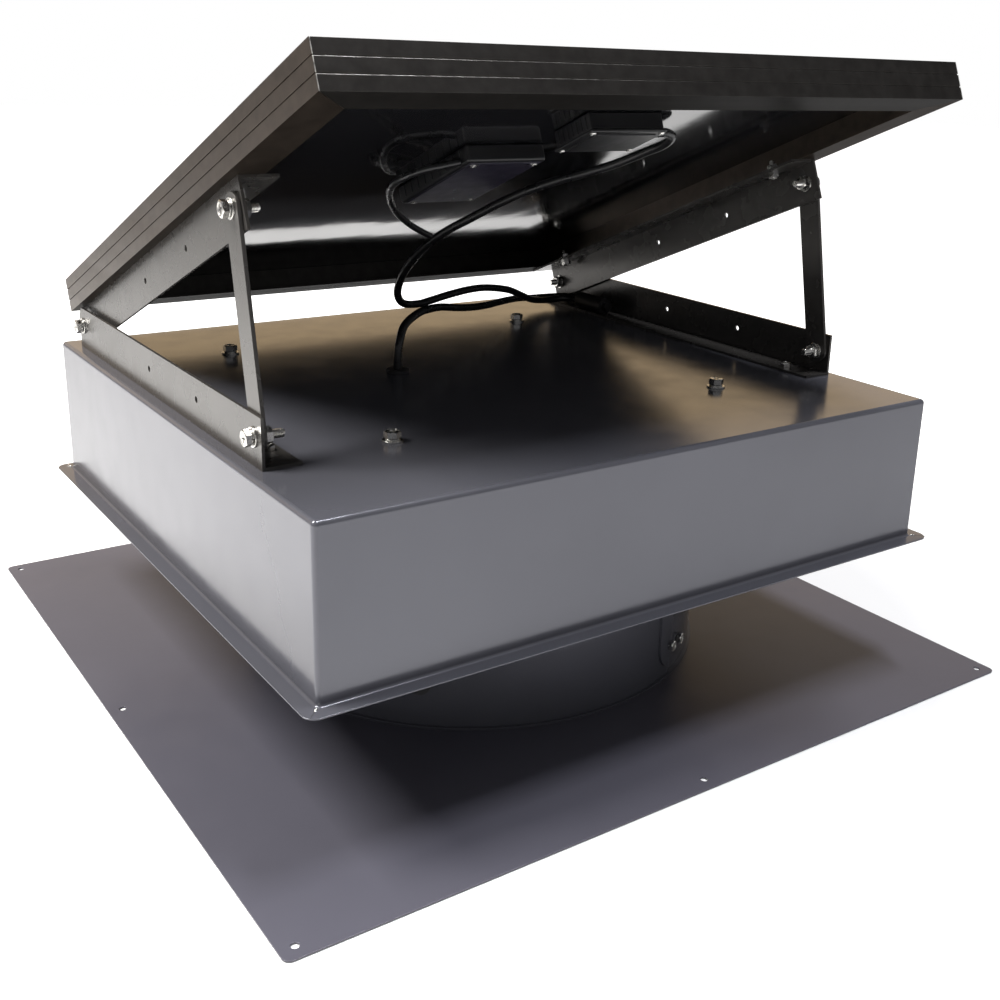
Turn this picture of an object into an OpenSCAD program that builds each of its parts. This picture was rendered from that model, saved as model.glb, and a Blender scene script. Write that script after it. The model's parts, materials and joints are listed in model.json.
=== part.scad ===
// Solar attic fan: a roof flashing with a round throat and a motor-driven fan in it, a square hood
// on four legs, and a solar panel hinged on two pairs of steel angles on top of the hood.
// +X runs along the front edge, +Y towards the panel's hinge, +Z up. The origin is the middle of
// the flashing's underside.

/* [Flashing and throat] */
// Side of the square flashing plate
plate_side = 610; // [590:5:680]
// Distance from the plate's edge to the middle of its screw holes
hole_inset = 10; // [8:1:16]
// Diameter of the roof screw holes
screw_hole_d = 5; // [4:0.5:6]
// Outer radius of the throat tube
throat_r = 185; // [180:1:190]
// Height of the throat's top edge above the roof
throat_top = 128; // [124:1:134]

/* [Hood] */
// Width of the hood along X
hood_w = 510; // [500:2:530]
// Depth of the hood along Y
hood_d = 488; // [480:2:500]
// Height of the hood's lower edge above the roof
hood_bottom = 106; // [98:1:110]
// Height of the hood's top face above the roof
hood_top = 218.5; // [214:0.5:226]

/* [Tilting brackets] */
// Angle of the panel above the horizontal as built
tilt = 22; // [21.5:0.1:22.5]
// Distance between the outer faces of the lower angles
angle_span = 490; // [480:1:492]
// Distance along each angle from the hinge bolt to the strut bolt
strut_hole = 352; // [346:1:356]

/* [Solar panel] */
// Width of the panel along X
panel_w = 495; // [490:1:506]
// Length of the panel from its rear edge to its front edge
panel_l = 520; // [510:1:524]
// Height of the panel's frame
frame_h = 27; // [26:0.5:30]

/* [Fan and motor] */
// Radius over the blade tips
blade_r = 176; // [160:1:178]
// Number of blades
blade_count = 5; // [4:1:6]
// Pitch of the blades
blade_pitch = 24; // [15:1:25]
// Height of the middle of the blades above the roof
blade_z = 100; // [98:1:102]
// Outer radius of the motor's can
motor_r = 40; // [34:1:44]

/* [Hidden] */

$fn = 48;
eps = 0.01;
steel = [0.25, 0.25, 0.27];
zinc = [0.78, 0.78, 0.76];
black = [0.06, 0.06, 0.065];

plate_t = 1.2;
plate_corner_r = 5;
hole_pitch = plate_side - 2 * hole_inset;

throat_t = 1.2;
throat_in_r = throat_r - throat_t;
hem_w = 3;
bead_w = 2.5;
arm_z = 15;
bar_t = 3;
bar_w = 24;
leg_bolt_z = 27;
leg_bolt_r = 2.5;
leg_bolt_half_angle = 2.3;
leg_angle = -64;
leg_t = 2;
leg_foot_from = -5;
leg_foot_sweep = 35;
lead_r = 3.25;
thin_lead_r = 2.5;
sleeve_r = 7.6;
lead_angle = 226.7;
lead_hole_z = 36;
motor_entry_z = 40;

hood_t = 1.2;
hood_corner_r = 3;
lip_w = 11;
hood_bolt_x = 142;
hood_bolt_y = 138;
hood_bolt_shift = -7;
hood_bolt_r = 3;
leg_top = hood_top - hood_t;
grommet_x = -58;
grommet_y = 20;
grommet_hole_r = 6;

angle_t = 2;
angle_h = 33;
upper_angle_h = 32;
foot_w = 26;
bolt_drop = 16.5;
end_cut_w = 8.5;
hinge_y = 210;
hinge_z = hood_top + 18.5;
end_margin_rear = 10;
end_margin_front = 12;
angle_l = end_margin_rear + strut_hole + end_margin_front;
strut_t = 2.6;
strut_gap = 3.2;
strut_w = 20;
strut_chord = 2 * strut_hole * sin(tilt / 2);
strut_lean = 90 - tilt / 2;
notch_angle = 25;
notch_w = 7;
m6_r = 3;
pivot_bore_r = 3.08;
adjust_holes = [163, 257];
adjust_hole_r = 2.2;
foot_screw_in = 17;
foot_screw_y = [-122, 204];
lower_outer = angle_span / 2;
lower_inner = lower_outer - angle_t;
upper_outer = lower_inner - strut_gap;
upper_inner = upper_outer - angle_t;

rail_t = 1.6;
rail_flange = 25;
ledge_v = 19.3;
ledge_w = 8;
lip_t = 1.5;
chamber_w = 5;
groove_d = 0.5;
groove_h = 0.8;
panel_rear = 20;
panel_front = panel_rear - panel_l;
glass_inset = 2.2;
backsheet_v = ledge_v + 1.5;
cell_v = backsheet_v + 1;
glass_v = cell_v + 0.4;
cells_across = 6;
cells_along = 6;
panel_bolt_a = [30, 330];

motor_base_z = 30;
motor_top_z = 76;
shaft_r = 4;
bearing_r = 11;
isolator_ring_r = 34;

box_right = 46;
gland_l = 10;
gland_y = -140;
gland_z = 411;

// ---------- shared shapes ----------

// Flat rectangle with round corners, centred
module rounded_rect(w, d, r) {
  square([w - 2 * r, d], center = true);
  square([w, d - 2 * r], center = true);
  for (x = [-1, 1], y = [-1, 1])
    translate([x * (w / 2 - r), y * (d / 2 - r)])
      circle(r);
}

// Hexagon bolt along -Z: head above z = 0, shank of radius r below it
module hex_bolt(r, length, across, head_h) {
  cylinder(h = head_h, r = across / 2 / cos(30), $fn = 6);
  translate([0, 0, -length])
    cylinder(h = length + eps, r = r);
}

// Hexagon nut standing on z = 0
module hex_nut(r, across, h) {
  difference() {
    cylinder(h = h, r = across / 2 / cos(30), $fn = 6);
    translate([0, 0, -1])
      cylinder(h = h + 2, r = r + 0.05);
  }
}

// Flat ring standing on z = 0
module ring(outer_r, inner_r, h) {
  difference() {
    cylinder(h = h, r = outer_r);
    translate([0, 0, -1])
      cylinder(h = h + 2, r = inner_r);
  }
}

// Children drawn on both sides, the left one mirrored
module both_sides() {
  children();
  mirror([1, 0, 0]) children();
}

// Children placed with +Z pointing along +X from x = at, at a point of the side view
module across_x(at, y, z) {
  translate([at, y, z])
    rotate([0, 90, 0])
      children();
}

// Children drawn in the panel's own frame: its origin is on the hinge axis, +Y to the rear
module on_panel() {
  translate([0, hinge_y, hinge_z])
    rotate([-tilt, 0, 0])
      children();
}

// Children turned to each of the four legs
module at_legs() {
  for (i = [0:3])
    rotate(leg_angle + 90 * i)
      children();
}

function unit(v) = v / norm(v);

// Point of a smooth curve through p0 ... p3, at share t of its middle span
function curve_point(p0, p1, p2, p3, t) =
  0.5 * (2 * p1 + (p2 - p0) * t + (2 * p0 - 5 * p1 + 4 * p2 - p3) * t * t
  + (3 * p1 - p0 - 3 * p2 + p3) * t * t * t);

// Points along the smooth curve through a route, two to a span
function smooth(route) = let (last = len(route) - 1) concat(
  [for (i = [0:last - 1], t = [0, 0.5])
    curve_point(route[max(i - 1, 0)], route[i], route[i + 1], route[min(i + 2, last)], t)],
  [route[last]]);

// Direction of travel at point i of a line of points
function heading(line, i) =
  unit(line[min(i + 1, len(line) - 1)] - line[max(i - 1, 0)]);

// Tube of radius r along a route, swept with an eight-sided section. The guide is a direction
// that the route never runs along.
module cord(route, r, guide = [0.62, -0.44, 0.65]) {
  sides = 8;
  line = smooth(route);
  count = len(line);
  points = [for (i = [0:count - 1])
    let (
      along = heading(line, i),
      side = unit(cross(along, guide)),
      up = cross(along, side)
    )
    for (k = [0:sides - 1])
      line[i] + r * (cos(360 * k / sides) * side + sin(360 * k / sides) * up)];
  walls = [for (i = [0:count - 2], k = [0:sides - 1])
    let (next = (k + 1) % sides)
    [i * sides + k, (i + 1) * sides + k, (i + 1) * sides + next, i * sides + next]];
  first = [for (k = [0:sides - 1]) k];
  last = [for (k = [sides - 1:-1:0]) (count - 1) * sides + k];
  polyhedron(points = points, faces = concat(walls, [first, last]), convexity = 10);
}

// ---------- flashing and throat ----------

module flashing_plate() {
  color(steel)
  linear_extrude(plate_t)
  difference() {
    rounded_rect(plate_side, plate_side, plate_corner_r);
    circle(throat_in_r, $fn = 120);
    for (x = [-1, 0, 1], y = [-1, 0, 1])
      if (x != 0 || y != 0)
        translate([x * hole_pitch / 2, y * hole_pitch / 2])
          circle(d = screw_hole_d);
  }
}

module throat_collar() {
  color(steel)
  difference() {
    rotate_extrude($fn = 120)
      union() {
        translate([throat_in_r, plate_t])
          square([throat_t, throat_top - plate_t]);
        translate([throat_in_r, plate_t])
          square([throat_t + bead_w, 1.5]);
        translate([throat_in_r - hem_w, throat_top - 1.2])
          square([hem_w + eps, 1.2]);
      }
    at_legs()
      for (a = [-leg_bolt_half_angle, leg_bolt_half_angle])
        rotate(a)
          across_x(throat_r - 10, 0, leg_bolt_z)
            cylinder(h = 20, r = leg_bolt_r);
    rotate(lead_angle)
      across_x(throat_r - 10, 0, lead_hole_z)
        cylinder(h = 20, r = grommet_hole_r);
  }
}

// ---------- hood and its legs ----------

module hood_cover() {
  color(steel)
  difference() {
    union() {
      translate([0, 0, hood_bottom])
        linear_extrude(hood_top - hood_bottom)
          rounded_rect(hood_w, hood_d, hood_corner_r);
      translate([0, 0, hood_bottom])
        linear_extrude(hood_t)
          rounded_rect(hood_w + 2 * lip_w, hood_d + 2 * lip_w, 9);
    }
    translate([0, 0, hood_bottom - 1])
      linear_extrude(hood_top - hood_bottom - hood_t + 1)
        rounded_rect(hood_w - 2 * hood_t, hood_d - 2 * hood_t, hood_corner_r - hood_t);
    at_hood_bolts()
      translate([0, 0, hood_top - 5])
        cylinder(h = 10, r = hood_bolt_r);
    at_foot_screws()
      translate([0, 0, hood_top - 5])
        cylinder(h = 10, r = leg_bolt_r);
    translate([grommet_x, grommet_y, hood_top - 5])
      cylinder(h = 10, r = grommet_hole_r);
  }
}

module at_hood_bolts() {
  for (x = [-1, 1], y = [-1, 1])
    translate([x * hood_bolt_x + hood_bolt_shift, y * hood_bolt_y, 0])
      children();
}

module at_foot_screws() {
  for (x = [-1, 1], y = foot_screw_y)
    translate([x * (lower_outer - foot_screw_in), y, 0])
      children();
}

// Outline of a leg unrolled: a strap with a round lower end that narrows above the throat
module leg_outline() {
  translate([0, 30])
    circle(23);
  translate([-23, 30])
    square([46, 62]);
  translate([-15, 90])
    square([30, leg_top - 90]);
}

// Leg i: a curved strap up the outside of the throat, with a foot turned out under the hood
module hood_leg(i) {
  color(steel)
  rotate(leg_angle + 90 * i)
  difference() {
    union() {
      intersection() {
        ring(throat_r + leg_t, throat_r + 0.02, leg_top);
        translate([throat_r - 30, 0, 0])
          rotate([90, 0, 90])
            linear_extrude(60)
              leg_outline();
      }
      translate([0, 0, leg_top - leg_t])
        rotate(leg_foot_from)
          rotate_extrude(angle = leg_foot_sweep, $fn = 120)
            translate([throat_r, 0])
              square([30, leg_t]);
    }
    for (a = [-leg_bolt_half_angle, leg_bolt_half_angle])
      rotate(a)
        across_x(throat_r - 10, 0, leg_bolt_z)
          cylinder(h = 20, r = leg_bolt_r);
    rotate(-leg_angle - 90 * i)
      at_hood_bolts()
        translate([0, 0, leg_top - 5])
          cylinder(h = 10, r = hood_bolt_r);
  }
}

module leg_bolts() {
  color(zinc)
  at_legs()
    for (a = [-leg_bolt_half_angle, leg_bolt_half_angle])
      rotate(a)
        across_x(throat_r + leg_t + 0.3, 0, leg_bolt_z)
          hex_bolt(leg_bolt_r, 13, 8, 3.5);
}

module leg_nuts() {
  color(zinc)
  at_legs()
    for (a = [-leg_bolt_half_angle, leg_bolt_half_angle])
      rotate(a)
        across_x(throat_in_r - bar_t - 4.3, 0, leg_bolt_z)
          hex_nut(leg_bolt_r, 8, 4);
}

module hood_bolts() {
  color(zinc)
  at_hood_bolts()
    translate([0, 0, hood_top + 2.6])
      hex_bolt(hood_bolt_r, 14, 10, 4.5);
}

module hood_washers() {
  color(zinc)
  at_hood_bolts()
    translate([0, 0, hood_top]) {
      ring(7, hood_bolt_r + 0.1, 1.2);
      translate([0, 0, 1.2])
        ring(5.2, hood_bolt_r + 0.1, 1.4);
    }
}

// Nuts under the legs' feet and under the lower angles
module hood_nuts() {
  color(zinc) {
    at_hood_bolts()
      translate([0, 0, leg_top - leg_t - 5])
        hex_nut(hood_bolt_r, 10, 5);
    at_foot_screws()
      translate([0, 0, leg_top - 4])
        hex_nut(leg_bolt_r, 8, 4);
  }
}

module wire_guard() {
  wire_r = 1.25;
  color(zinc)
  translate([0, 0, throat_top + wire_r]) {
    for (r = [30, 66, 102, 138, throat_in_r - hem_w / 2 - 0.5])
      rotate_extrude($fn = 96)
        translate([r, 0])
          circle(wire_r, $fn = 16);
    for (a = [0, 90])
      rotate([90, 0, leg_angle + 30 + a])
        translate([0, 0.8, 0])
          cylinder(h = 2 * throat_in_r - 6, r = wire_r, center = true, $fn = 16);
  }
}

// ---------- motor and its supports ----------

// Flat bar across the throat with its ends turned up against the wall
module motor_arm(bottom_z) {
  reach = throat_in_r;
  difference() {
    intersection() {
      union() {
        translate([-reach, -bar_w / 2, bottom_z])
          cube([2 * reach, bar_w, bar_t]);
        difference() {
          translate([-reach, -bar_w / 2, bottom_z])
            cube([2 * reach, bar_w, 36 - bottom_z]);
          cylinder(h = 60, r = reach - bar_t, $fn = 120);
        }
      }
      cylinder(h = 60, r = reach, $fn = 120);
    }
    for (i = [0, 180], a = [-leg_bolt_half_angle, leg_bolt_half_angle])
      rotate(i + a)
        across_x(reach - 10, 0, leg_bolt_z)
          cylinder(h = 20, r = leg_bolt_r);
    for (i = [0, 180])
      rotate(i)
        translate([isolator_ring_r, 0, bottom_z - 1])
          cylinder(h = 10, r = 2.1);
  }
}

module motor_arm_lower() {
  color(steel)
  rotate(leg_angle)
    motor_arm(arm_z);
}

module motor_arm_upper() {
  color(steel)
  rotate(leg_angle + 90)
    motor_arm(arm_z + bar_t);
}

module motor_isolators() {
  color(black)
  for (i = [0:3])
    let (bottom = arm_z + bar_t * (1 + i % 2))
    rotate(leg_angle + 90 * i)
      translate([isolator_ring_r, 0, bottom])
        ring(6, 2.1, motor_base_z - bottom);
}

module motor_screws() {
  color(zinc)
  for (i = [0:3])
    let (bottom = arm_z + bar_t * (i % 2))
    rotate(leg_angle + 90 * i)
      translate([isolator_ring_r, 0, bottom])
        rotate([180, 0, 0])
          hex_bolt(2, motor_base_z + bar_t + 4 - bottom, 7, 3);
}

module motor_base_plate() {
  color(zinc)
  translate([0, 0, motor_base_z])
  difference() {
    union() {
      cylinder(h = bar_t, r = motor_r + 4);
      cylinder(h = bar_t + 7, r = bearing_r + 2.5);
    }
    translate([0, 0, bar_t])
      cylinder(h = 10, r = bearing_r + 0.02);
    translate([0, 0, -1])
      cylinder(h = bar_t + 2, r = shaft_r + 1);
    for (i = [0:3])
      rotate(leg_angle + 90 * i)
        translate([isolator_ring_r, 0, -1])
          cylinder(h = bar_t + 2, r = 2);
  }
}

// Can open at the bottom, with a hole for the upper bearing
module motor_can() {
  color([0.55, 0.56, 0.58])
  difference() {
    translate([0, 0, motor_base_z + bar_t])
      cylinder(h = motor_top_z - motor_base_z - bar_t, r = motor_r);
    translate([0, 0, motor_base_z])
      cylinder(h = motor_top_z - motor_base_z - 2, r = motor_r - 1.5);
    translate([0, 0, motor_top_z - 5])
      cylinder(h = 10, r = 15);
    rotate(lead_angle)
      across_x(motor_r - 5, 0, motor_entry_z)
        cylinder(h = 10, r = 4);
  }
}

// Round cap that closes the can and holds the upper bearing
module motor_end_cap() {
  color([0.3, 0.31, 0.33])
  difference() {
    union() {
      translate([0, 0, motor_top_z - 2])
        cylinder(h = 2, r = 15);
      translate([0, 0, motor_top_z])
        cylinder(h = 2, r = 22);
      translate([0, 0, motor_top_z - 9])
        cylinder(h = 8, r = bearing_r + 2.5);
    }
    translate([0, 0, motor_top_z - 12])
      cylinder(h = 10, r = bearing_r + 0.02);
    translate([0, 0, motor_top_z - 3])
      cylinder(h = 6, r = shaft_r + 0.6);
  }
}

module stator_core() {
  teeth = 6;
  color([0.45, 0.45, 0.47])
  translate([0, 0, motor_base_z + 14])
  linear_extrude(20)
  difference() {
    circle(motor_r - 1.5);
    circle(motor_r - 7);
  }
  color([0.45, 0.45, 0.47])
  translate([0, 0, motor_base_z + 14])
  linear_extrude(20)
  for (i = [0:teeth - 1])
    rotate(i * 360 / teeth)
      translate([20, -2.5])
        square([14, 5]);
}

module stator_coils() {
  color([0.72, 0.36, 0.16])
  for (i = [0:5])
    rotate(i * 60)
      translate([22, 0, motor_base_z + 12])
        difference() {
          translate([0, -6, 0])
            cube([9, 12, 24]);
          translate([-1, -2.6, 1.9])
            cube([11, 5.2, 20.2]);
        }
}

module motor_bearings() {
  color([0.8, 0.8, 0.82])
  for (z = [motor_base_z + bar_t + 0.2, motor_top_z - 9.2])
    translate([0, 0, z])
      ring(bearing_r, shaft_r + 0.05, 7);
}

module motor_shaft() {
  color([0.85, 0.85, 0.86])
  translate([0, 0, motor_base_z + bar_t + 0.5])
    cylinder(h = blade_z + 18 - motor_base_z - bar_t, r = shaft_r);
}

module rotor_magnets() {
  color([0.2, 0.2, 0.21])
  translate([0, 0, motor_base_z + 13])
    ring(19, shaft_r + 0.01, 22);
}

// ---------- fan ----------

module fan_hub() {
  color([0.3, 0.3, 0.32])
  translate([0, 0, blade_z - 4])
  difference() {
    union() {
      cylinder(h = 6, r = 34);
      cylinder(h = 16, r = 13);
    }
    translate([0, 0, -1])
      cylinder(h = 20, r = shaft_r + 0.01);
    for (i = [0:blade_count - 1])
      rotate(i * 360 / blade_count)
        translate([27, 0, -1])
          cylinder(h = 9, r = 2);
  }
}

// Outline of a blade: a root tab and a fan-shaped paddle with round corners
module blade_outline() {
  difference() {
    union() {
      translate([40, -11])
        square([20, 22]);
      translate([84, -2])
        circle(38);
      translate([132, 4])
        circle(52);
      translate([84, -40])
        square([48, 86]);
    }
    translate([-50, -100])
      square([90, 200]);
  }
}

module fan_blades() {
  color([0.34, 0.34, 0.36])
  for (i = [0:blade_count - 1])
    rotate(i * 360 / blade_count) {
      translate([20, -9, blade_z + 2])
        difference() {
          cube([24, 18, 2]);
          translate([7, 9, -1])
            cylinder(h = 4, r = 2);
        }
      intersection() {
        translate([0, 0, blade_z + 3])
          rotate([blade_pitch, 0, 0])
            translate([0, 0, -1])
              linear_extrude(2)
                blade_outline();
        translate([0, 0, 60])
          cylinder(h = 80, r = blade_r, $fn = 120);
      }
    }
}

// Nut on the shaft and the rivets that hold the blades to the hub
module hub_fasteners() {
  color(zinc) {
    translate([0, 0, blade_z + 12])
      difference() {
        cylinder(h = 5, r = 7.5, $fn = 6);
        translate([0, 0, -1])
          cylinder(h = 7, r = shaft_r + 0.01);
      }
    for (i = [0:blade_count - 1])
      rotate(i * 360 / blade_count)
        translate([27, 0, blade_z - 4]) {
          cylinder(h = 9, r = 2);
          translate([0, 0, 8])
            cylinder(h = 1.5, r = 3.6);
        }
  }
}

// ---------- tilting brackets, drawn for the right side ----------

// Square bar that cuts a corner off the end of a web
module end_cut(y, z) {
  translate([lower_inner, y, z])
    rotate([45, 0, 0])
      cube([20, end_cut_w, end_cut_w], center = true);
}

module lower_angle() {
  color(steel)
  difference() {
    translate([0, hinge_y + end_margin_rear - angle_l, hood_top])
      union() {
        translate([lower_inner, 0, 0])
          cube([angle_t, angle_l, angle_h]);
        translate([lower_outer - foot_w, 0, 0])
          cube([foot_w - eps, angle_l, angle_t]);
      }
    end_cut(hinge_y + end_margin_rear, hood_top + angle_h);
    for (a = [0, strut_hole])
      across_x(lower_inner - 5, hinge_y - a, hinge_z)
        cylinder(h = 10, r = m6_r);
    for (a = adjust_holes)
      across_x(lower_inner - 5, hinge_y - a, hinge_z)
        cylinder(h = 10, r = adjust_hole_r);
    at_foot_screws()
      translate([0, 0, hood_top - 5])
        cylinder(h = 10, r = leg_bolt_r);
  }
}

module lower_angle_left() {
  mirror([1, 0, 0]) lower_angle();
}

module lower_angle_right() {
  lower_angle();
}

// Hinge bolts and lower strut bolts
module bracket_bolts() {
  color(zinc)
  both_sides()
    for (a = [0, strut_hole])
      across_x(lower_outer + 2.6, hinge_y - a, hinge_z)
        hex_bolt(m6_r, 22, 10, 4);
}

module hinge_spacers() {
  color(zinc)
  both_sides()
    across_x(upper_outer + 0.1, hinge_y, hinge_z)
      ring(8, m6_r + 0.05, strut_gap - 0.1);
}

// Flat and spring washers under the bolt heads, flat washers under the nuts
module bracket_washers() {
  color(zinc)
  both_sides()
    for (a = [0, strut_hole]) {
      across_x(lower_outer, hinge_y - a, hinge_z)
        ring(6.5, m6_r + 0.1, 1.2);
      across_x(lower_outer + 1.2, hinge_y - a, hinge_z)
        ring(5.2, m6_r + 0.1, 1.4);
      across_x(a == 0 ? upper_inner - 1.3 : upper_outer - 0.95, hinge_y - a, hinge_z)
        ring(6.5, m6_r + 0.1, 1.2);
    }
}

module bracket_nuts() {
  color(zinc)
  both_sides()
    for (a = [0, strut_hole])
      across_x(a == 0 ? upper_inner - 6.3 : upper_outer - 5.95, hinge_y - a, hinge_z)
        hex_nut(m6_r, 10, 5);
}

module foot_screws() {
  color(zinc)
  at_foot_screws()
    translate([0, 0, hood_top + angle_t])
      hex_bolt(leg_bolt_r, 10, 8, 3.5);
}

// Flat bar from the lower angle to the upper one; its top bolt leaves it through a side notch
module strut() {
  color(steel)
  across_x(upper_outer + (strut_gap - strut_t) / 2, hinge_y - strut_hole, hinge_z)
  rotate(strut_lean)
  linear_extrude(strut_t)
  difference() {
    union() {
      translate([-strut_w / 2, 0])
        square([strut_w, strut_chord]);
      circle(strut_w / 2);
      translate([0, strut_chord])
        circle(strut_w / 2);
    }
    circle(pivot_bore_r);
    translate([0, strut_chord]) {
      circle(notch_w / 2);
      rotate(-notch_angle)
        translate([0, -notch_w / 2])
          square([20, notch_w]);
    }
  }
}

module strut_left() {
  mirror([1, 0, 0]) strut();
}

module strut_right() {
  strut();
}

module upper_angle() {
  color(steel)
  on_panel()
  difference() {
    translate([0, end_margin_rear - angle_l, bolt_drop - upper_angle_h])
      union() {
        translate([upper_inner, 0, 0])
          cube([angle_t, angle_l, upper_angle_h]);
        translate([upper_outer - foot_w, 0, upper_angle_h - angle_t])
          cube([foot_w - eps, angle_l, angle_t]);
      }
    end_cut(end_margin_rear, bolt_drop - upper_angle_h);
    across_x(upper_inner - 5, 0, 0)
      cylinder(h = 10, r = pivot_bore_r);
    across_x(upper_inner - 5, -strut_hole, 0)
      cylinder(h = 10, r = m6_r);
    for (a = adjust_holes)
      across_x(upper_inner - 5, -a, 0)
        cylinder(h = 10, r = adjust_hole_r);
    at_panel_bolts()
      cylinder(h = 20, r = leg_bolt_r, center = true);
  }
}

module upper_angle_left() {
  mirror([1, 0, 0]) upper_angle();
}

module upper_angle_right() {
  upper_angle();
}

module strut_top_bolts() {
  color(zinc)
  on_panel()
  both_sides()
    across_x(lower_inner + 2.4, -strut_hole, 0)
      hex_bolt(m6_r, 20, 10, 4);
}

module strut_top_washers() {
  color(zinc)
  on_panel()
  both_sides() {
    across_x(lower_inner - 0.2, -strut_hole, 0)
      ring(6.5, m6_r + 0.1, 1.2);
    across_x(lower_inner + 1, -strut_hole, 0)
      ring(5.2, m6_r + 0.1, 1.4);
    across_x(upper_inner - 1.2, -strut_hole, 0)
      ring(6.5, m6_r + 0.1, 1.2);
  }
}

// ---------- solar panel, drawn in the panel's own frame ----------

module at_panel_bolts() {
  for (x = [-1, 1], a = panel_bolt_a)
    translate([x * (lower_outer - foot_screw_in), -a, bolt_drop])
      children();
}

module panel_bolts() {
  color(zinc)
  on_panel()
    at_panel_bolts()
      translate([0, 0, -angle_t])
        rotate([180, 0, 0])
          hex_bolt(leg_bolt_r, 11, 8, 3.5);
}

// Nuts on the panel bolts, inside the frame, and on the struts' top bolts
module panel_nuts() {
  color(zinc)
  on_panel() {
    at_panel_bolts()
      translate([0, 0, rail_t])
        hex_nut(leg_bolt_r, 8, 4);
    both_sides()
      across_x(upper_inner - 6.2, -strut_hole, 0)
        hex_nut(m6_r, 10, 5);
  }
}

// Section of the frame's rails: x is inwards from the outer face, y is up
module rail_profile() {
  difference() {
    union() {
      square([rail_t, frame_h]);
      square([rail_flange, rail_t]);
      translate([0, ledge_v])
        square([ledge_w, backsheet_v - ledge_v]);
      translate([0, frame_h - lip_t])
        square([ledge_w, lip_t]);
      translate([rail_t + chamber_w, 0])
        square([ledge_w - rail_t - chamber_w, backsheet_v]);
    }
    for (i = [1, 2])
      translate([-eps, frame_h * i / 3 - groove_h / 2])
        square([groove_d + eps, groove_h]);
  }
}

// Rail of a length along X with mitred ends: its outer face is y = 0 and it lies towards +Y
module rail(length) {
  color([0.16, 0.16, 0.17])
  intersection() {
    translate([-length / 2, 0, 0])
      rotate([90, 0, 90])
        linear_extrude(length)
          rail_profile();
    linear_extrude(frame_h)
      polygon([
        [-length / 2, 0], [length / 2, 0],
        [length / 2 - rail_flange, rail_flange], [rail_flange - length / 2, rail_flange]
      ]);
  }
}

// Rail at one side of the panel, at turn degrees from the front one
module rail_at(turn, length, reach) {
  on_panel()
    translate([0, (panel_rear + panel_front) / 2, bolt_drop])
      rotate(turn)
        translate([0, -reach, 0])
          rail(length);
}

module frame_front() {
  rail_at(0, panel_w, panel_l / 2);
}

module frame_right() {
  side_rail(90);
}

module frame_rear() {
  rail_at(180, panel_w, panel_l / 2);
}

module frame_left() {
  side_rail(270);
}

// Side rail with the holes for the panel bolts
module side_rail(turn) {
  difference() {
    rail_at(turn, panel_l, panel_w / 2);
    on_panel()
      at_panel_bolts()
        cylinder(h = 20, r = leg_bolt_r, center = true);
  }
}

// Corner pieces inside the rails' hollow chambers
module corner_keys() {
  inset = rail_t + 0.2;
  leg = 34;
  wide = chamber_w - 0.4;
  color(zinc)
  on_panel()
    translate([0, (panel_rear + panel_front) / 2, bolt_drop + rail_t + 0.3])
      for (x = [-1, 1], y = [-1, 1])
        scale([x, y, 1])
          translate([-panel_w / 2 + inset, -panel_l / 2 + inset, 0])
            union() {
              cube([leg, wide, ledge_v - rail_t - 0.6]);
              cube([wide, leg, ledge_v - rail_t - 0.6]);
            }
}

// Sheet that fills the frame's groove, from height v to v + t above the frame's underside
module laminate(v, t) {
  on_panel()
    translate([0, (panel_rear + panel_front) / 2, bolt_drop + v])
      linear_extrude(t)
        square([panel_w - 2 * glass_inset, panel_l - 2 * glass_inset], center = true);
}

module panel_glass() {
  color([0.05, 0.06, 0.09])
    laminate(glass_v, frame_h - lip_t - 0.1 - glass_v);
}

module backsheet() {
  color(black)
    laminate(backsheet_v, cell_v - backsheet_v);
}

module solar_cells() {
  margin = ledge_w + 6;
  pitch_x = (panel_w - 2 * margin) / cells_across;
  pitch_y = (panel_l - 2 * margin) / cells_along;
  gap = 1.8;
  color([0.04, 0.05, 0.1])
  on_panel()
    translate([-panel_w / 2 + margin, panel_front + margin, bolt_drop + cell_v])
      for (i = [0:cells_across - 1], j = [0:cells_along - 1])
        translate([i * pitch_x + gap / 2, j * pitch_y + gap / 2, 0])
          cube([pitch_x - gap, pitch_y - gap, glass_v - cell_v]);
}

// Box under the backsheet, between two distances along the panel from the hinge
module panel_box(x0, x1, a0, a1, v0, v1) {
  translate([x0, -a1, bolt_drop + v0])
    cube([x1 - x0, a1 - a0, v1 - v0]);
}

// Box with a gland on its right side, from which the panel's lead leaves
module junction_box() {
  color(black) {
    on_panel()
      panel_box(-16, box_right, 372, 412, 9.5, backsheet_v);
    across_x(box_right - eps, gland_y, gland_z)
      cylinder(h = gland_l + eps, r = 4.2);
  }
}

module junction_box_lid() {
  color(black)
  on_panel()
    panel_box(-17.5, box_right + 1.5, 370.5, 413.5, 7, 9.5);
}

module controller_box() {
  color([0.2, 0.18, 0.25])
  on_panel()
    panel_box(-72, -9, 248, 349, 8.5, backsheet_v);
}

// ---------- leads ----------

// Rubber grommets where the fan's lead passes the hood and the throat
module cable_grommets() {
  color(black) {
    translate([grommet_x, grommet_y, hood_top - hood_t / 2])
      grommet(hood_t);
    rotate(lead_angle)
      across_x(throat_r - throat_t / 2, 0, lead_hole_z)
        grommet(throat_t);
  }
}

// Grommet about z = 0 in a sheet of thickness t
module grommet(t) {
  difference() {
    union() {
      cylinder(h = 5, r = grommet_hole_r - 0.1, center = true);
      for (side = [0, 1])
        mirror([0, 0, side])
          translate([0, 0, t / 2])
            cylinder(h = 2.2, r = 9);
    }
    cylinder(h = 20, r = lead_r + 0.1, center = true);
  }
}

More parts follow.
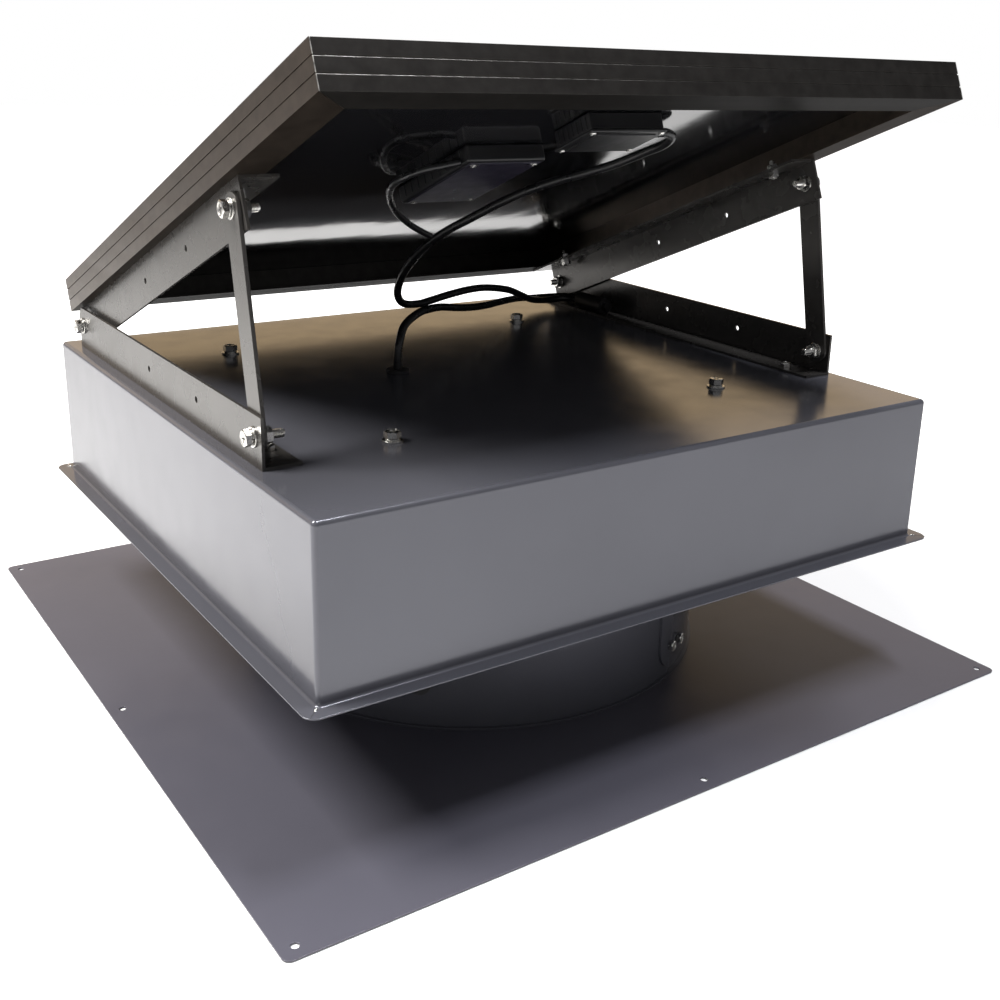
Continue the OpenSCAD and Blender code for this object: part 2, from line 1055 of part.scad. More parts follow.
// Closed sleeve on the right foot, in which the two leads are joined
module splice_cap() {
  color(black)
  translate([227, 160, hood_top + angle_t + sleeve_r])
    rotate([90, 0, 0]) {
      difference() {
        cylinder(h = 40, r = sleeve_r);
        for (x = [-3.5, 3.5])
          translate([x, 0, -1])
            cylinder(h = 13, r = lead_r + 0.05);
      }
      translate([0, 0, 40 - eps])
        cylinder(h = 6, r = 4);
    }
}

// From the junction box down in an S and forward over the hood to the sleeve
module panel_lead() {
  route = [
    [56, -140, 411], [61, -140, 411], [67, -140, 411], [76, -136, 408], [80, -124, 402], [76, -107, 395],
    [63, -88, 385], [48, -70, 377], [34, -53, 370], [20, -38, 362], [7, -22, 352],
    [-6, -5, 340], [-17, 14, 328], [-24, 31, 316], [-28, 50, 300], [-29, 66, 284],
    [-25, 80, 268], [-14, 90, 257], [4, 96, 254], [20, 101, 255], [41, 107, 257],
    [68, 116, 258], [93, 126, 256], [126, 141, 249], [150, 155, 240], [170, 166, 232],
    [188, 174, 228], [204, 176, 227], [215, 174, 228], [222, 167, 228], [223.5, 158, 228]
  ];
  color(black) cord(route, lead_r);
}

// From the hood's grommet up and across the hood to the sleeve
module fan_lead() {
  route = [
    [-58, 20, 219], [-58, 20, 232], [-55, 22, 243], [-46, 30, 253], [-25, 45, 258],
    [-5, 60, 257], [15, 75, 254], [42, 92, 248], [70, 110, 243], [95, 126, 240],
    [116, 141, 238], [142, 160, 235], [164, 175, 232], [185, 184, 229], [205, 187, 228],
    [220, 183, 228], [229, 174, 228], [230.5, 158, 228]
  ];
  color(black) cord(route, lead_r);
}

// From the hood's grommet over the throat's edge, down outside it and in to the motor
module motor_lead() {
  route = [
    [-58, 20, 219], [-58, 20, 208], [-62, 12, 199], [-72, -8, 194], [-86, -32, 192],
    [-102, -62, 190], [-116, -92, 184], [-127, -118, 174], [-133, -137, 158], [-134, -143, 138],
    [-134, -142, 112], [-134, -142, 84], [-134, -142, 60], [-132, -140, 46], [-126, -134, 37],
    [-114, -121, 36], [-96, -102, 35], [-76, -81, 35], [-58, -61, 37], [-44, -46, 39],
    [-35, -37, 40], [-26, -28, 40]
  ];
  color(black) cord(route, lead_r);
}

// Thin loop from the controller box round to the panel's lead
module controller_lead() {
  route = [
    [-73, -93, 390], [-84, -92, 388], [-96, -87, 385], [-104, -77, 380], [-105, -62, 374],
    [-98, -42, 366], [-85, -20, 356], [-69, 0, 345], [-52, 13, 335], [-38, 20, 328], [-27, 23, 323]
  ];
  color(black) cord(route, thin_lead_r, [0, 0.3, 0.95]);
}

flashing_plate();
throat_collar();
hood_cover();
hood_leg(0);  // hood_leg_front
hood_leg(1);  // hood_leg_right
hood_leg(2);  // hood_leg_rear
hood_leg(3);  // hood_leg_left
leg_bolts();
leg_nuts();
hood_bolts();
hood_washers();
hood_nuts();
wire_guard();
motor_arm_lower();
motor_arm_upper();
motor_isolators();
motor_screws();
motor_base_plate();
motor_can();
motor_end_cap();
stator_core();
stator_coils();
motor_bearings();
motor_lead();
cable_grommets();
lower_angle_left();
lower_angle_right();
bracket_bolts();
hinge_spacers();
bracket_nuts();
bracket_washers();
foot_screws();
splice_cap();
fan_lead();
panel_lead();
motor_shaft();
rotor_magnets();
fan_hub();
fan_blades();
hub_fasteners();
strut_left();
strut_right();
upper_angle_left();
upper_angle_right();
strut_top_bolts();
strut_top_washers();
panel_bolts();
panel_nuts();
frame_front();
frame_rear();
frame_left();
frame_right();
corner_keys();
panel_glass();
solar_cells();
backsheet();
junction_box();
junction_box_lid();
controller_box();
controller_lead();
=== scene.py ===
"""Looks of a solar attic fan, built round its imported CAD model.

Metres, +X along the front edge, +Y towards the panel's hinge, +Z up.
"""

import json
import math

import bmesh
import bpy
import numpy as np
from mathutils import Matrix, Vector, noise


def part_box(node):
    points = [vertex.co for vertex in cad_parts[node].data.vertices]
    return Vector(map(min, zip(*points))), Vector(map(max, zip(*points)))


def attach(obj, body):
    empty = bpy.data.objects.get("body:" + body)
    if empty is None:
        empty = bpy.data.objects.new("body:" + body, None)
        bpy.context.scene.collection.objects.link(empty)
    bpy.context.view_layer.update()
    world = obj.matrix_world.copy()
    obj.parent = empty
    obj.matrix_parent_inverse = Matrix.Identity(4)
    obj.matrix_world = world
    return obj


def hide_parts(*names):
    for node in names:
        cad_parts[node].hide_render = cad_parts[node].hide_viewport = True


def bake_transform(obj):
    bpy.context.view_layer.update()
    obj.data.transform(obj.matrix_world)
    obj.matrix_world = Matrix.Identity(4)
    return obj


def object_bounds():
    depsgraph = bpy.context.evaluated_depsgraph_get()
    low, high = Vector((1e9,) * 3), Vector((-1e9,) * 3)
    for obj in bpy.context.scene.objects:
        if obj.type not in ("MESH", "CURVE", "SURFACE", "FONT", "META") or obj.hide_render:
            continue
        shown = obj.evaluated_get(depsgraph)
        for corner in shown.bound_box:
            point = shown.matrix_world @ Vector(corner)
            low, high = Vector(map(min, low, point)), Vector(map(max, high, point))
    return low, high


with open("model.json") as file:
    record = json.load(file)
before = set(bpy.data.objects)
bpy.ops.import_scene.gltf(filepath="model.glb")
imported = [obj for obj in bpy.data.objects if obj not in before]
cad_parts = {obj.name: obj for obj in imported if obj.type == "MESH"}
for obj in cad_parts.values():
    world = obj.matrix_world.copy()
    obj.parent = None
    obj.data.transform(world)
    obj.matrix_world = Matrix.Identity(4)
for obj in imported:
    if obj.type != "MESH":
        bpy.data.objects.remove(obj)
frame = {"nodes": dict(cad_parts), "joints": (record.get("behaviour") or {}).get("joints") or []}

MM = 0.001
NODES = frame["nodes"]
cad_low, cad_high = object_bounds()

# The panel's own axes: origin on the hinge, +Y to the rear, +Z out of the glass
TILT = math.radians(22)
HINGE = Vector(next(j["pos_m"] for j in frame["joints"] if j["name"] == "panel_tilt"))
PANEL = Matrix.Translation(HINGE) @ Matrix.Rotation(-TILT, 4, "X")
WORLD = Matrix.Identity(4)


# ---------- camera ----------

def add_camera():
    data = bpy.data.cameras.new("view")
    data.sensor_width = 36
    data.lens = 44.11
    data.shift_x = -0.042
    data.shift_y = -0.057
    camera = bpy.data.objects.new("view", data)
    bpy.context.collection.objects.link(camera)
    forward = Vector((0.5584, 0.7735, -0.2998)).normalized()
    right = Vector((0.8161, -0.5770, 0.0315))
    right = (right - right.dot(forward) * forward).normalized()
    turn = Matrix((right, right.cross(forward), -forward)).transposed()
    camera.matrix_world = Matrix.Translation((-0.5132, -0.8079, 0.4582)) @ turn.to_4x4()
    bpy.context.scene.camera = camera


add_camera()


# ---------- materials ----------

def nodes_of(material):
    tree = material.node_tree
    tree.nodes.clear()
    out = tree.nodes.new("ShaderNodeOutputMaterial")
    shader = tree.nodes.new("ShaderNodeBsdfPrincipled")
    tree.links.new(shader.outputs[0], out.inputs[0])
    return tree, shader


def shader_of(material):
    return next(n for n in material.node_tree.nodes if n.type == "BSDF_PRINCIPLED")


def add(tree, kind, values=None, **settings):
    """A node with its settings, and its inputs given as numbers or as the sockets that feed them."""
    made = tree.nodes.new(kind)
    for name, value in settings.items():
        setattr(made, name, value)
    for name, value in (values or {}).items():
        socket = made.inputs[name]
        if isinstance(value, bpy.types.NodeSocket):
            tree.links.new(value, socket)
        else:
            socket.default_value = value
    return made


def speckle(tree, place, scale, low, high, detail=3.0):
    """Noise of a scale, mapped so that it runs from low to high."""
    grain = add(tree, "ShaderNodeTexNoise", {"Vector": place, "Scale": scale, "Detail": detail})
    ranged = add(tree, "ShaderNodeMapRange", {
        "Value": grain.outputs["Fac"], "From Min": 0.3, "From Max": 0.7,
        "To Min": low, "To Max": high})
    return ranged.outputs["Result"]


def place_of(tree, stretch=(1, 1, 1), turn=(0, 0, 0)):
    """Coordinates of the piece in metres, stretched along a direction for a brushed grain."""
    coords = add(tree, "ShaderNodeTexCoord")
    mapped = add(tree, "ShaderNodeMapping", {
        "Vector": coords.outputs["Object"], "Scale": stretch, "Rotation": turn})
    return mapped.outputs["Vector"]


def blended(tree, by, first, second, kind="RGBA"):
    """The first value where the socket is 0, and the second where it is 1."""
    mixed = add(tree, "ShaderNodeMix", {"Factor": by}, data_type=MIX_TYPES[kind])
    slots = [s for s in mixed.inputs if s.type == kind and s.name in "AB"]
    for slot, value in zip(slots, (first, second)):
        if isinstance(value, bpy.types.NodeSocket):
            tree.links.new(value, slot)
        else:
            slot.default_value = value
    return next(s for s in mixed.outputs if s.type == kind)


def tint(tree, colour, share, by):
    """The colour, darker or lighter by a share where the socket runs from 0 to 1."""
    dark = [c * (1 - share) for c in colour] + [1]
    light = [min(1, c * (1 + share)) for c in colour] + [1]
    return blended(tree, by, dark, light)


def surface(name, colour, metallic, rough, share=0.12, mottle=14, grain=500, relief=0.003,
            rough_spread=0.05, stretch=(1, 1, 1), turn=(0, 0, 0), ior=1.5, wave=0.0, edge=1.0):
    """A finish with a mottled colour, uneven gloss and a fine relief, in millimetres.

    The edge value darkens what a metal reflects at a glancing angle.
    """
    material = bpy.data.materials.new(name)
    material.use_nodes = True
    tree, shader = nodes_of(material)
    plain = place_of(tree)
    grained = place_of(tree, stretch, turn)
    shader.inputs["Metallic"].default_value = metallic
    shader.inputs["IOR"].default_value = ior
    shader.inputs["Specular Tint"].default_value = (edge, edge, edge, 1)
    blotch = speckle(tree, plain, mottle, 0, 1)
    tree.links.new(tint(tree, colour, share, blotch), shader.inputs["Base Color"])
    gloss = speckle(tree, grained, grain * 0.12, rough - rough_spread, rough + rough_spread)
    tree.links.new(gloss, shader.inputs["Roughness"])
    peel = add(tree, "ShaderNodeTexNoise", {"Vector": grained, "Scale": grain, "Detail": 1.0})
    bumped = add(tree, "ShaderNodeBump", {
        "Height": peel.outputs["Fac"], "Strength": 1.0, "Distance": relief * MM})
    if wave:
        swell = add(tree, "ShaderNodeTexNoise", {"Vector": plain, "Scale": 7, "Detail": 0.0})
        waved = add(tree, "ShaderNodeBump", {
            "Height": swell.outputs["Fac"], "Strength": 1.0, "Distance": wave * MM})
        tree.links.new(waved.outputs["Normal"], bumped.inputs["Normal"])
    tree.links.new(bumped.outputs["Normal"], shader.inputs["Normal"])
    return material


def cell_surface():
    """Dark silicon with fine fingers across and three ribbons along, in the panel's own axes."""
    material = surface("silicon", (0.008, 0.014, 0.040), 0.0, 0.26, share=0.2, mottle=5,
                       rough_spread=0.02)
    tree = material.node_tree
    shader = shader_of(material)
    coords = add(tree, "ShaderNodeTexCoord")
    axes = add(tree, "ShaderNodeSeparateXYZ", {"Vector": coords.outputs["Object"]})

    def stripes(value, pitch, width):
        scaled = add(tree, "ShaderNodeMath", {0: value, 1: 1 / pitch}, operation="MULTIPLY")
        phase = add(tree, "ShaderNodeMath", {0: scaled.outputs[0]}, operation="FRACT")
        edge = add(tree, "ShaderNodeMath", {0: phase.outputs[0], 1: width / pitch},
                   operation="LESS_THAN")
        return edge.outputs[0]

    fingers = stripes(axes.outputs["Y"], FINGER_PITCH, FINGER_W)
    ribbons = stripes(axes.outputs["X"], CELL_PITCH / 3, RIBBON_W)
    faint = add(tree, "ShaderNodeMath", {0: fingers, 1: 0.15}, operation="MULTIPLY")
    either = add(tree, "ShaderNodeMath", {0: faint.outputs[0], 1: ribbons}, operation="MAXIMUM")
    base = shader.inputs["Base Color"].links[0].from_socket
    striped = blended(tree, either.outputs[0], base, SILVER)
    tree.links.new(striped, shader.inputs["Base Color"])
    return material


def glass_surface():
    material = surface("panel_glass", (0.97, 0.985, 0.99), 0.0, 0.012, share=0.005,
                       rough_spread=0.004, relief=0.0002)
    shader = shader_of(material)
    shader.inputs["Transmission Weight"].default_value = 1
    shader.inputs["IOR"].default_value = 1.45
    return material


def lit_side_rail():
    """Black side rail in a lighter, warmer copy of the rail colour, which paints light on the side
    faces, and with painted shade on the faces that look down.
    """
    # Painted light: the side rails get a lighter, warmer copy of the black rail colour.
    material = surface("black_aluminium_lit_side", (0.080, 0.064, 0.052), 0.85, 0.36, share=0.15,
                       mottle=120, stretch=BRUSH_Y, turn=(TILT, 0, 0), relief=0.004)
    tree = material.node_tree
    shader = shader_of(material)
    coords = add(tree, "ShaderNodeTexCoord")
    axes = add(tree, "ShaderNodeSeparateXYZ", {"Vector": coords.outputs["Normal"]})
    # Painted shade: faces that look down get a darker glancing reflection.
    edge = add(tree, "ShaderNodeMapRange", {
        "Value": axes.outputs["Z"], "From Min": -0.8, "From Max": -0.3,
        "To Min": 0.1, "To Max": 1.0})
    tree.links.new(edge.outputs["Result"], shader.inputs["Specular Tint"])
    return material


def worn_and_highlit_rail():
    """Black front rail with painted highlights along its two grooves, and bare metal at its cut ends
    that also paints in the bright highlight along the corners.
    """
    material = surface("black_aluminium_front", RAIL, 0.85, 0.36, share=0.15, mottle=120,
                       stretch=BRUSH_X, relief=0.004, edge=0.1)
    tree = material.node_tree
    shader = shader_of(material)
    coords = add(tree, "ShaderNodeTexCoord")
    back = PANEL.inverted()
    mapped = add(tree, "ShaderNodeMapping", {
        "Vector": coords.outputs["Object"], "Rotation": back.to_euler(),
        "Location": back.to_translation()})
    axes = add(tree, "ShaderNodeSeparateXYZ", {"Vector": mapped.outputs["Vector"]})

    def math_node(operation, a, b=0.0):
        return add(tree, "ShaderNodeMath", {0: a, 1: b}, operation=operation).outputs[0]

    def near(value, middle, half):
        apart = math_node("ABSOLUTE", math_node("SUBTRACT", value, middle))
        return math_node("LESS_THAN", apart, half)

    # Painted highlights: bright metal lines along the two grooves, strongest at the left end and
    # fading towards the middle.
    groove_highlights = math_node("MAXIMUM", *(near(axes.outputs["Z"], height, GROOVE_HALF)
                                   for height in GROOVE_HEIGHTS))
    highlight_fade = add(tree, "ShaderNodeMapRange", {
        "Value": axes.outputs["X"], "From Min": -RAIL_HALF, "From Max": 0.02,
        "To Min": 0.7, "To Max": 0.03}).outputs["Result"]
    groove_highlights = math_node("MULTIPLY", groove_highlights, highlight_fade)
    # Bare metal at the cut ends, which also paints in the bright highlight along the corner edges.
    ends = math_node("GREATER_THAN", math_node("ABSOLUTE", axes.outputs["X"]),
                     RAIL_HALF - 0.7 * MM)
    patchiness = speckle(tree, coords.outputs["Object"], 260, 0.1, 1)
    bare_and_highlight = math_node("MULTIPLY", math_node("MAXIMUM", groove_highlights, ends), patchiness)
    for name, shiny in (("Base Color", BARE_METAL_AND_HIGHLIGHT), ("Metallic", 1.0), ("Roughness", 0.45)):
        socket = shader.inputs[name]
        coated = socket.links[0].from_socket if socket.links else socket.default_value
        tree.links.new(blended(tree, bare_and_highlight, coated, shiny, socket.type), socket)
    return material


MIX_TYPES = {"RGBA": "RGBA", "VALUE": "FLOAT"}
SILVER = (0.30, 0.31, 0.33, 1)
# Bare metal colour, used for the cut ends and for the painted groove highlights.
BARE_METAL_AND_HIGHLIGHT = (0.75, 0.73, 0.68, 1)
CELL_PITCH = 77.8 * MM
FINGER_PITCH = 1.9 * MM
FINGER_W = 0.16 * MM
RIBBON_W = 1.3 * MM
BRUSH_X = (0.02, 1, 1)
BRUSH_Y = (1, 0.02, 1)
RAIL = (0.048, 0.045, 0.042)
RAIL_HALF = 247.5 * MM
# Heights and half width of the painted highlight lines in the front rail's grooves.
GROOVE_HEIGHTS = (25.2 * MM, 34.2 * MM)
GROOVE_HALF = 0.25 * MM
LOOKS = {
    "powder_coat": surface("powder_coat", (0.101, 0.102, 0.119), 0.35, 0.19, share=0.05,
                           mottle=7, grain=350, relief=0.004, rough_spread=0.03, wave=0.5),
    "bracket_coat": surface("bracket_coat", (0.068, 0.064, 0.060), 0.45, 0.27, share=0.06,
                            mottle=18, grain=350, relief=0.004, rough_spread=0.02),
    "black_steel": surface("black_steel", (0.03, 0.03, 0.032), 0.3, 0.38),
    "zinc": surface("zinc", (0.70, 0.69, 0.66), 1.0, 0.24, share=0.10, mottle=300, grain=2000,
                    relief=0.002, rough_spread=0.08),
    "motor_steel": surface("motor_steel", (0.42, 0.43, 0.45), 1.0, 0.32, stretch=(1, 1, 0.02),
                           relief=0.005),
    "lamination": surface("lamination", (0.16, 0.16, 0.17), 0.8, 0.45, stretch=(0.02, 0.02, 1),
                          grain=900, relief=0.03),
    "copper": surface("copper", (0.60, 0.24, 0.09), 0.9, 0.30, stretch=(1, 1, 0.05), grain=900,
                      relief=0.06),
    "rubber": surface("rubber", (0.018, 0.018, 0.019), 0.0, 0.62, grain=900, relief=0.010),
    "cable_jacket": surface("cable_jacket", (0.010, 0.010, 0.011), 0.0, 0.30, grain=700,
                            relief=0.004, mottle=60, rough_spread=0.08),
    "sleeve": surface("sleeve", (0.014, 0.014, 0.015), 0.0, 0.46, grain=500, relief=0.03),
    "fan_metal": surface("fan_metal", (0.060, 0.060, 0.066), 0.5, 0.36, grain=600, relief=0.006),
    "black_aluminium": surface("black_aluminium", RAIL, 0.85, 0.36, share=0.15,
                               mottle=120, stretch=BRUSH_X, relief=0.004, edge=0.1),
    "key_aluminium": surface("key_aluminium", (0.6, 0.6, 0.62), 1.0, 0.35, relief=0.01),
    "panel_glass": glass_surface(),
    "silicon": cell_surface(),
    "backsheet": surface("backsheet", (0.008, 0.008, 0.009), 0.0, 0.07, share=0.2, grain=60,
                         relief=0.04, rough_spread=0.03, ior=1.6),
    "black_plastic": surface("black_plastic", (0.010, 0.010, 0.011), 0.0, 0.36, grain=900,
                             relief=0.008),
    # Painted light: lighter purple-grey that stands in for the light the controller's face reflects.
    "grey_plastic": surface("grey_plastic", (0.022, 0.020, 0.033), 0.0, 0.32, grain=900,
                            relief=0.008),
}
# Lighter copy of the rail colour, with painted light on the sides and painted shade underneath.
LIT_SIDE_RAIL = lit_side_rail()
# Front rail with painted highlights along its grooves and at its cut ends.
FRONT_RAIL = worn_and_highlit_rail()
PLATE_COAT = surface("powder_coat_plate", (0.092, 0.090, 0.112), 0.15, 0.32, share=0.05, mottle=7,
                     grain=350, relief=0.004, rough_spread=0.03, wave=0.5)


# ---------- pieces from the CAD nodes ----------

def dress(node, slot, bevel=0.3, material=None):
    """Gives a CAD node its material, and rounds its edges by so many millimetres."""
    obj = NODES[node]
    obj.data.materials.clear()
    obj.data.materials.append(material or LOOKS[slot])
    for face in obj.data.polygons:
        face.material_index = 0
    weld = obj.modifiers.new("weld", "WELD")
    weld.merge_threshold = 0.01 * MM
    flat = obj.modifiers.new("flat", "DECIMATE")
    flat.decimate_type = "DISSOLVE"
    flat.angle_limit = math.radians(0.5)
    if bevel:
        rounding = obj.modifiers.new("round", "BEVEL")
        rounding.width = bevel * MM
        rounding.segments = 2
        rounding.limit_method = "ANGLE"
        rounding.angle_limit = math.radians(40)
        rounding.use_clamp_overlap = True
    obj.modifiers.new("shade", "WEIGHTED_NORMAL").weight = 60
    return obj


def solids(node, space=WORLD):
    """The points of each separate solid of a node, in a space's own axes."""
    shell = bmesh.new()
    shell.from_mesh(NODES[node].data)
    bmesh.ops.remove_doubles(shell, verts=shell.verts, dist=0.01 * MM)
    shell.transform(space.inverted())
    found, seen = [], set()
    for start in shell.verts:
        if start in seen:
            continue
        stack, points = [start], []
        seen.add(start)
        while stack:
            vert = stack.pop()
            points.append(vert.co.copy())
            for edge in vert.link_edges:
                other = edge.other_vert(vert)
                if other not in seen:
                    seen.add(other)
                    stack.append(other)
        found.append(points)
    shell.free()
    return found


# ---------- meshes ----------

class Shape:
    """Points and faces of a new piece, added to through a current placing matrix."""

    def __init__(self, place=WORLD):
        self.place = place
        self.points = []
        self.faces = []

    def loft(self, rings, closed=False):
        """Quads between rings of equal length, capped at both ends or closed into a loop."""
        first = len(self.points)
        size = len(rings[0])
        for ring in rings:
            self.points += [self.place @ Vector(p) for p in ring]
        pairs = list(zip(range(len(rings)), range(1, len(rings))))
        if closed:
            pairs.append((len(rings) - 1, 0))
        for a, b in pairs:
            for i in range(size):
                j = (i + 1) % size
                self.faces.append((first + a * size + i, first + a * size + j,
                                   first + b * size + j, first + b * size + i))
        if not closed:
            self.faces.append(tuple(first + i for i in reversed(range(size))))
            last = first + (len(rings) - 1) * size
            self.faces.append(tuple(last + i for i in range(size)))

    def block(self, low, high, radius, segments=3):
        """Box with round edges."""
        body = bmesh.new()
        bmesh.ops.create_cube(body, size=1)
        low, high = Vector(low), Vector(high)
        for vert in body.verts:
            vert.co = Vector((vert.co[i] + 0.5) * (high[i] - low[i]) + low[i] for i in range(3))
        bmesh.ops.bevel(body, geom=body.edges[:], offset=radius, segments=segments,
                        profile=0.5, affect="EDGES", clamp_overlap=True)
        body.verts.ensure_lookup_table()
        first = len(self.points)
        self.points += [self.place @ v.co for v in body.verts]
        self.faces += [tuple(first + v.index for v in f.verts) for f in body.faces]
        body.free()

    def piece(self, name, body, slot, replaces=(), at=WORLD, sharp=40, material=None):
        """The finished object, riding on a body."""
        mesh = bpy.data.meshes.new(name)
        mesh.from_pydata([tuple(p) for p in self.points], [], self.faces)
        shell = bmesh.new()
        shell.from_mesh(mesh)
        bmesh.ops.recalc_face_normals(shell, faces=shell.faces)
        for face in shell.faces:
            face.smooth = True
        for edge in shell.edges:
            edge.smooth = edge.calc_face_angle(math.pi) < math.radians(sharp)
        shell.to_mesh(mesh)
        shell.free()
        obj = bpy.data.objects.new(name, mesh)
        bpy.context.collection.objects.link(obj)
        obj.matrix_world = at
        mesh.materials.append(material or LOOKS[slot])
        shade = obj.modifiers.new("shade", "WEIGHTED_NORMAL")
        shade.weight = 60
        shade.keep_sharp = True
        if replaces:
            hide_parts(*replaces)
        if body:
            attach(obj, body)
        return obj


def circle(radius, z, count=48):
    return [(radius * math.cos(a), radius * math.sin(a), z)
            for a in (2 * math.pi * i / count for i in range(count))]


def hexagon(across, z_of, count=48):
    """Points round a hexagon, each at the height that its radius gives."""
    ring = []
    for i in range(count):
        a = 2 * math.pi * i / count
        off = (a + math.pi / 6) % (math.pi / 3) - math.pi / 6
        r = across / 2 / math.cos(off)
        ring.append((r * math.cos(a), r * math.sin(a), z_of(r)))
    return ring


def cross(reach, z, count=48):
    """Points round a cross recess whose arms are 15 degrees to each side at their ends."""
    half = reach * math.tan(math.radians(15))
    ring = []
    for i in range(count):
        a = 2 * math.pi * i / count
        off = abs((a + math.pi / 4) % (math.pi / 2) - math.pi / 4)
        r = reach / math.cos(off) if off < math.radians(15.1) else half / math.sin(off)
        ring.append((r * math.cos(a), r * math.sin(a), z))
    return ring


def thread(radius, low, high, pitch, count=20):
    """Rings of a screw thread, with a chamfered lower end."""
    depth = 0.55 * pitch
    steps = max(2, round((high - low) / pitch * 4))
    rings = [[(p[0], p[1], low) for p in circle(radius - depth, low, count)]]
    for k in range(steps + 1):
        z = low + 0.3 * pitch + (high - low - 0.3 * pitch) * k / steps
        ring = []
        for i in range(count):
            phase = (z / pitch - i / count) % 1
            r = radius - depth * abs(2 * phase - 1)
            if k < 3:
                r = min(r, radius - depth * (3 - k) / 3)
            a = 2 * math.pi * i / count
            ring.append((r * math.cos(a), r * math.sin(a), z))
        rings.append(ring)
    return rings


def bolt(shape, radius, across, head, length, pitch):
    """Cross-recessed hexagon bolt along -Z, with the underside of its head at z = 0."""
    flat = across / 2 * 0.93
    slope = math.tan(math.radians(30))
    shape.loft(thread(radius * 0.985, -length, head * 0.4, pitch))
    shape.loft([
        circle(flat, 0),
        hexagon(across, lambda r: 0.12 * MM),
        hexagon(across, lambda r: head - (r - flat) * slope),
        circle(flat, head),
        circle(flat * 0.86, head),
        circle(flat * 0.80, head - 0.25 * MM),
        cross(flat * 0.62, head - 0.25 * MM),
        cross(flat * 0.46, head - min(1.8 * MM, head * 0.55)),
    ])


def nut(shape, radius, across, height):
    """Hexagon nut standing on z = 0."""
    flat = across / 2 * 0.94
    slope = math.tan(math.radians(30))
    shape.loft([
        circle(radius * 1.02, 0.3 * MM),
        circle(radius * 1.12, 0),
        circle(flat, 0),
        hexagon(across, lambda r: (r - flat) * slope),
        hexagon(across, lambda r: height - (r - flat) * slope),
        circle(flat, height),
        circle(radius * 1.12, height),
        circle(radius * 1.02, height - 0.3 * MM),
    ], closed=True)


def washer(shape, outer, inner, low, high):
    """Flat ring with softened outer edges."""
    edge = 0.18 * MM
    shape.loft([
        circle(inner, low), circle(outer - edge, low), circle(outer, low + edge),
        circle(outer, high - edge), circle(outer - edge, high), circle(inner, high),
    ], closed=True)


def spring_washer(shape, outer, inner, low, high):
    """Split ring whose two ends stand a little apart."""
    edge = 0.15 * MM
    rings = []
    lift = 0.25 * (high - low)
    steps = 40
    for k in range(steps + 1):
        a = math.radians(6 + 348 * k / steps)
        bottom = low + 0.02 * MM + lift * k / steps
        top = high - lift * (1 - k / steps)
        section = [(inner, bottom), (outer - edge, bottom), (outer, bottom + edge),
                   (outer, top - edge), (outer - edge, top), (inner, top)]
        rings.append([(r * math.cos(a), r * math.sin(a), z) for r, z in section])
    shape.loft(rings)


def along(points, out, head):
    """Placing matrix of a bolt whose head faces out, and the length below its head."""
    turn = Vector(out).to_track_quat("Z", "Y").to_matrix().to_4x4()
    inverse = turn.inverted()
    local = np.array([tuple(inverse @ p) for p in points])
    low, high = local.min(0), local.max(0)
    seat = high[2] - head
    middle = (low + high) / 2
    return turn @ Matrix.Translation((middle[0], middle[1], seat)), seat - low[2]


def outward_x(points):
    """Direction away from the middle plane, for a bolt that lies across."""
    return (math.copysign(1, sum(p.x for p in points)), 0, 0)


def radial(points):
    """Direction away from the throat's axis."""
    middle = sum(points, Vector()) / len(points)
    return Vector((middle.x, middle.y, 0)).normalized()


FLAT_T = 1.2 * MM
SPRING_T = 1.4 * MM
SPRING_OUTER = 5.2 * MM
WASHER_BORE = 3.2 * MM
NUT_GAP = 0.05 * MM
HINGE_WASHER = 6.5 * MM
HOOD_WASHER = 7 * MM
HOOD_HEAD = 4.5 * MM
# A nut wider than this is an M6 one
M6_NUT_SPAN = 9.5 * MM
M6 = {"radius": 3 * MM, "across": 10 * MM, "head": 4 * MM, "pitch": 1 * MM}
M5 = {"radius": 2.5 * MM, "across": 8 * MM, "head": 3.5 * MM, "pitch": 0.8 * MM}


def bolts(node, body, size, out, head=None, space=WORLD):
    """Threaded bolts with recessed heads in place of a node's plain ones."""
    shape = Shape()
    head = head or size["head"]
    for points in solids(node, space):
        place, length = along(points, out(points), head)
        shape.place = place
        bolt(shape, size["radius"], size["across"], head, length, size["pitch"])
    return shape.piece(node + "_cut", body, "zinc", [node], at=space)


def nuts(node, body, size_of, out, space=WORLD):
    """Chamfered nuts in place of a node's plain ones."""
    shape = Shape()
    for points in solids(node, space):
        size = size_of(points)
        place, height = along(points, out(points), 0)
        shape.place = place @ Matrix.Translation((0, 0, -height))
        nut(shape, size["radius"], size["across"], height)
    return shape.piece(node + "_cut", body, "zinc", [node], at=space)


# ---------- fasteners ----------

UP = (0, 0, 1)
DOWN = (0, 0, -1)


